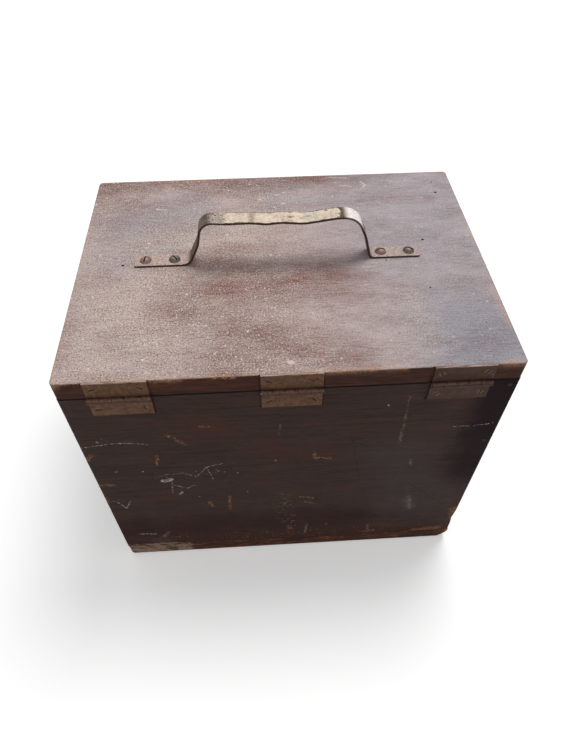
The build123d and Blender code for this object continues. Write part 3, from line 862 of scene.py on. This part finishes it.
def dull_metal(name, seed, dark, light, size, metallic, roughness):
    """Old bare metal, mottled and pitted."""
    metal = Shader(name, seed)
    mottle = metal.noise(size, 5.0, 0.7)
    pits = metal.noise(size / 5, 3.0, 0.7)
    colour = metal.mix(metal.step(mottle, 0.3, 0.7), dark, light)
    relief = metal.total(metal.product(mottle, 0.5), metal.product(pits, 0.5))
    shine = metal.between(metal.step(pits, 0.3, 0.7), roughness - 0.08, roughness + 0.1)
    return metal.finish(colour, shine, relief, depth=0.1, gloss=0.3, metallic=metallic)


# Handle

STRAP_DARK = srgb(54, 39, 31)
STRAP_LIGHT = srgb(104, 82, 66)
STRAP_RUST = srgb(100, 68, 52)
# Painted shade for the strap's upright sides, as darker copies of its steel.
STRAP_SIDE_SHADE_DARK = srgb(30, 22, 19)
STRAP_SIDE_SHADE_LIGHT = srgb(72, 54, 46)
BRIGHT_BEND = srgb(240, 230, 226)
SCRAPED_BEND = srgb(206, 196, 186)
FOOT_DARK = srgb(140, 114, 104)
FOOT_LIGHT = srgb(208, 188, 180)
FOOT_GREY = srgb(126, 120, 116)
CREAM_DARK = srgb(200, 181, 161)
CREAM_LIGHT = srgb(227, 210, 192)
CREAM_STREAK = srgb(140, 112, 92)
CREAM_SMEAR = srgb(134, 116, 108)
CREAM_GREEN = srgb(160, 172, 156)
CREAM_THICK = srgb(222, 206, 176)
HEAD_RED_DARK = srgb(86, 62, 58)
HEAD_RED_LIGHT = srgb(148, 118, 112)
HEAD_GREY_DARK = srgb(56, 47, 44)
HEAD_GREY_LIGHT = srgb(112, 98, 92)
# Painted shade round the sides of the domes, and a painted highlight on their crowns.
HEAD_SIDE_SHADE = srgb(38, 29, 27)
HEAD_HIGHLIGHT = srgb(190, 168, 162)
HEAD_SLOT = srgb(30, 23, 21)

# From +X to -X, the grip's paint is scratched, smeared with grey, thick, greenish and streaked.
GRIP_PAINT_START = 61.0
GRIP_PAINT_END = -55.0
HANDLE_MIDDLE = (HANDLE_LOW.y + HANDLE_HIGH.y) / 2
HALF_STRAP = (HANDLE_HIGH.y - HANDLE_LOW.y) / 2
GRIP_TOP = HANDLE_HIGH.z
HANDLE_SCREW_TOP = box_mm("handle_screws")[1].z


def on_grip(*marks):
    """Marks on the grip's top, with points as (x, across): -1 at the front edge, 1 at the back."""
    return marks_on(lambda x, across: (x, HANDLE_MIDDLE + across * HALF_STRAP, GRIP_TOP), marks)


SMEARS = on_grip(
    (3.0, (27, -1), (26, 1)), (1.5, (1, -1), (-2, 0.6)), (3.0, (57, -0.8), (53, 0.9)),
    (1.2, (44, -0.6), (36, 0.1)),
)
THICK_PAINT = on_grip((4.2, (-13, -0.9), (-19, -0.5)))


def over_lid(strap, low, high):
    """0 at the first height over the lid's top, 1 at the second."""
    return strap.step(strap.z, LID_TOP + low, LID_TOP + high)


def strap_steel(strap, mottle, flakes, fine, top):
    """The bare strap: dark, bright at the -X bend, scraped at the other, with dusty feet."""
    colour = strap.mix(strap.step(mottle, 0.35, 0.65), STRAP_DARK, STRAP_LIGHT)
    bright = strap.product(strap.step(strap.x, -54.0, -61.0), over_lid(strap, 28.0, 40.0))
    colour = strap.coat(colour, BRIGHT_BEND, bright, strap.step(fine, 0.26, 0.5), 0.95)
    scraped = strap.product(
        strap.step(strap.x, 49.0, 53.0), strap.step(strap.x, 68.0, 60.0), over_lid(strap, 34.0, 41.0))
    colour = strap.coat(colour, SCRAPED_BEND, scraped, strap.step(fine, 0.42, 0.56), 0.8)
    foot = strap.mix(strap.step(fine, 0.36, 0.64), FOOT_DARK, FOOT_LIGHT)
    foot = strap.coat(foot, FOOT_GREY, strap.step(strap.x, -40.0, -60.0), 0.35)
    low = over_lid(strap, 9.0, 2.5)
    colour = strap.coat(colour, foot, low, top, 0.92)
    return strap.coat(colour, STRAP_RUST, strap.step(flakes, 0.58, 0.68), strap.between(low, 0.5, 0.3))


def strap_paint(strap, flakes, fine, top):
    """Where paint is left, and where it is thick."""
    grip = strap.product(
        strap.step(strap.x, GRIP_PAINT_START + 4.0, GRIP_PAINT_START - 4.0),
        strap.step(strap.x, GRIP_PAINT_END - 5.0, GRIP_PAINT_END + 5.0),
        over_lid(strap, 38.0, 40.5),
        top)
    from_middle = strap.total(strap.apart(strap.y, HANDLE_MIDDLE), strap.either_way(fine, 2.0))
    rim = strap.step(from_middle, HALF_STRAP - 1.1, HALF_STRAP + 0.3)
    scratched = strap.step(strap.x, GRIP_PAINT_START - 14.0, GRIP_PAINT_START - 8.0)
    kept = strap.total(flakes, grip, strap.product(rim, -0.5), strap.product(scratched, -0.1))
    legs = strap.product(strap.step(flakes, 0.6, 0.63), over_lid(strap, 5.0, 12.0), 0.5)
    thick = strap.strokes(THICK_PAINT, wobble=2.0, size=6.0, ragged=0.6, soft=0.6)
    thick = strap.product(thick, grip)
    return strap.largest(strap.step(kept, 1.37, 1.42), legs, thick), thick


def strap_cream(strap, mottle, flakes, fine, thick):
    """The paint's colour, with its streaks, smears and greenish stretch."""
    cream = strap.mix(strap.step(mottle, 0.3, 0.7), CREAM_DARK, CREAM_LIGHT)
    streaks = strap.product(strap.step(fine, 0.53, 0.62), strap.step(flakes, 0.58, 0.46))
    cream = strap.coat(cream, CREAM_STREAK, streaks, 0.75)
    smears = strap.strokes(SMEARS, wobble=2.5, size=6.0, ragged=0.8, soft=2.0)
    cream = strap.coat(cream, CREAM_SMEAR, smears, 0.75)
    green = strap.product(strap.step(strap.x, -16.0, -21.0), strap.step(strap.x, -36.0, -29.0))
    cream = strap.coat(cream, CREAM_GREEN, green, strap.step(fine, 0.4, 0.54), 0.5)
    return strap.coat(cream, CREAM_THICK, thick, 0.85)


def handle_material():
    """A steel strap with old cream paint, worn off its legs, bends and edges, and dusty feet."""
    strap = Shader("worn_handle_paint", 40.0)
    mottle = strap.noise(4.0, 5.0, 0.7)
    flakes = strap.noise((9.0, 3.0, 3.0), 6.0, 0.78)
    fine = strap.noise((2.4, 0.8, 0.8), 4.0, 0.7)
    top = strap.facing_up()
    steel = strap_steel(strap, mottle, flakes, fine, top)
    paint, thick = strap_paint(strap, flakes, fine, top)
    cream = strap_cream(strap, mottle, flakes, fine, thick)
    colour = strap.mix(paint, steel, cream)
    # Painted shade: the strap's faces that look forward or back are darkened.
    side = strap.step(strap.number("ABSOLUTE", strap.normal[1]), 0.5, 0.8)
    colour = strap.coat(colour, strap.mix(mottle, STRAP_SIDE_SHADE_DARK, STRAP_SIDE_SHADE_LIGHT), side, 0.9)
    relief = strap.total(
        strap.product(paint, 0.6), strap.product(mottle, 0.2), strap.product(thick, 0.4))
    metallic = strap.between(paint, 0.3, 0.0)
    roughness = strap.between(paint, 0.5, 0.7)
    return strap.finish(colour, roughness, relief, depth=0.2, gloss=0.25, metallic=metallic)


def handle_screw_material():
    """Dull round heads: reddish, or dark grey, dark in the slots, with painted shade round their sides
    and a painted highlight on the crown.
    """
    steel = Shader("handle_screw", 35.0)
    mottle = steel.noise(2.6, 5.0, 0.72)
    # The outer screw at the -X end and the inner one at the other end are the grey ones.
    grey = steel.largest(
        steel.step(steel.x, -114.0, -116.0),
        steel.product(steel.step(steel.x, 115.0, 113.0), steel.step(steel.x, 85.0, 87.0)))
    patchy = steel.step(mottle, 0.3, 0.7)
    colour = steel.mix(
        grey,
        steel.mix(patchy, HEAD_RED_DARK, HEAD_RED_LIGHT),
        steel.mix(patchy, HEAD_GREY_DARK, HEAD_GREY_LIGHT))
    # Painted shade where the domes turn down at their sides.
    colour = steel.coat(colour, HEAD_SIDE_SHADE, steel.step(steel.normal[2], 0.6, 0.25), 0.7)
    # Painted highlight on the top of each dome.
    colour = steel.coat(colour, HEAD_HIGHLIGHT, steel.step(steel.normal[2], 0.8, 0.98), 0.35)
    deep = steel.step(steel.z, HANDLE_SCREW_TOP - 0.7, HANDLE_SCREW_TOP - 1.0)
    colour = steel.coat(colour, HEAD_SLOT, deep, steel.step(steel.normal[2], 0.985, 1.0))
    return steel.finish(colour, 0.6, mottle, depth=0.15, gloss=0.3, metallic=0.25)


def paint_nodes():
    """Gives every CAD node its finished material."""
    lid_leaf = hinge_material("hinge_brass_upper", 70.0)
    body_leaf = hinge_material("hinge_brass_lower", 90.0)
    hinge_screw = hinge_screw_material()
    pin = dull_metal("pin_steel_worn", 25.0, PIN_DARK, PIN_LIGHT, size=2.5, metallic=0.7, roughness=0.42)
    catch = dull_metal(
        "catch_brass_worn", 45.0, CATCH_DARK, CATCH_LIGHT, size=5.0, metallic=0.6, roughness=0.42)
    nail = nail_material()
    finishes = {
        "lid_board": lid_material(),
        "back_wall": back_wall_material(),
        "front_wall": wall_material("front_wood", "front_wall", 33.0, LEFT, RIGHT, FRONT),
        "left_end_wall": wall_material("left_wood", "left_end_wall", 43.0, LEFT),
        "right_end_wall": wall_material("right_wood", "right_end_wall", 53.0, RIGHT),
        "bottom_board": bottom_material(),
        "corner_nails": nail,
        "bottom_nails": nail,
        "hinge_screws_lid": hinge_screw,
        "hinge_screws_body": hinge_screw,
        "handle_strap": handle_material(),
        "handle_screws": handle_screw_material(),
    }
    for name, node in nodes.items():
        if name.endswith("_lid_leaf"):
            finish = lid_leaf
        elif name.endswith("_body_leaf"):
            finish = body_leaf
        elif name.startswith("hinge") and name.endswith("_pin"):
            finish = pin
        else:
            finish = finishes.get(name, catch)
        node.data.materials.clear()
        node.data.materials.append(finish)


# Floor and background

FLOOR_REACH = 6000.0
FLOOR_HEIGHT = -0.2
FLOOR_LIT = srgb(205, 205, 205)
FLOOR_SEEN = srgb(250, 250, 250)
# Between these distances from the origin the floor turns as white as the background.
WHITE_FLOOR_START = 600.0
WHITE_FLOOR_FULL = 1800.0


def camera_sees(tree):
    """1 for rays that show the background: those of the camera, of mirrors and of glass."""
    path = tree.add("ShaderNodeLightPath").outputs
    return tree.largest(path["Is Camera Ray"], path["Is Glossy Ray"], path["Is Transmission Ray"])


def make_floor():
    """A floor just below the box's underside, so that the two faces don't coincide."""
    mesh = bpy.data.meshes.new("floor")
    corners = [(-1, -1), (1, -1), (1, 1), (-1, 1)]
    reach = FLOOR_REACH * MM
    height = FLOOR_HEIGHT * MM
    mesh.from_pydata([(x * reach, y * reach, height) for x, y in corners], [], [(0, 1, 2, 3)])
    floor = bpy.data.objects.new("floor", mesh)
    bpy.context.scene.collection.objects.link(floor)
    shader = Shader("pale_floor")
    seen = camera_sees(shader)
    matt = shader.add("ShaderNodeBsdfDiffuse", {"Color": shader.mix(seen, FLOOR_LIT, FLOOR_SEEN)})
    far_off = shader.step(shader.vector("LENGTH", shader.place), WHITE_FLOOR_START, WHITE_FLOOR_FULL)
    strength = shader.product(seen, shader.between(far_off, 0.25, 1.0))
    glow = shader.add("ShaderNodeEmission", {"Color": WHITE, "Strength": strength})
    both = shader.add("ShaderNodeAddShader", {0: matt.outputs[0], 1: glow.outputs[0]})
    shader.add("ShaderNodeOutputMaterial", {"Surface": both.outputs[0]})
    mesh.materials.append(shader.material)


def make_world():
    """A background that looks white, and lights the object less than it looks."""
    world = bpy.data.worlds.new("studio")
    bpy.context.scene.world = world
    world.use_nodes = True
    sky = NodeTree(world.node_tree)
    strength = sky.between(camera_sees(sky), 0.45, 1.0)
    light = sky.add("ShaderNodeBackground", {"Color": WHITE, "Strength": strength})
    sky.add("ShaderNodeOutputWorld", {"Surface": light.outputs[0]})


make_camera()
make_lamps()
make_world()
make_floor()
paint_nodes()
bpy.context.scene.view_settings.view_transform = "Standard"
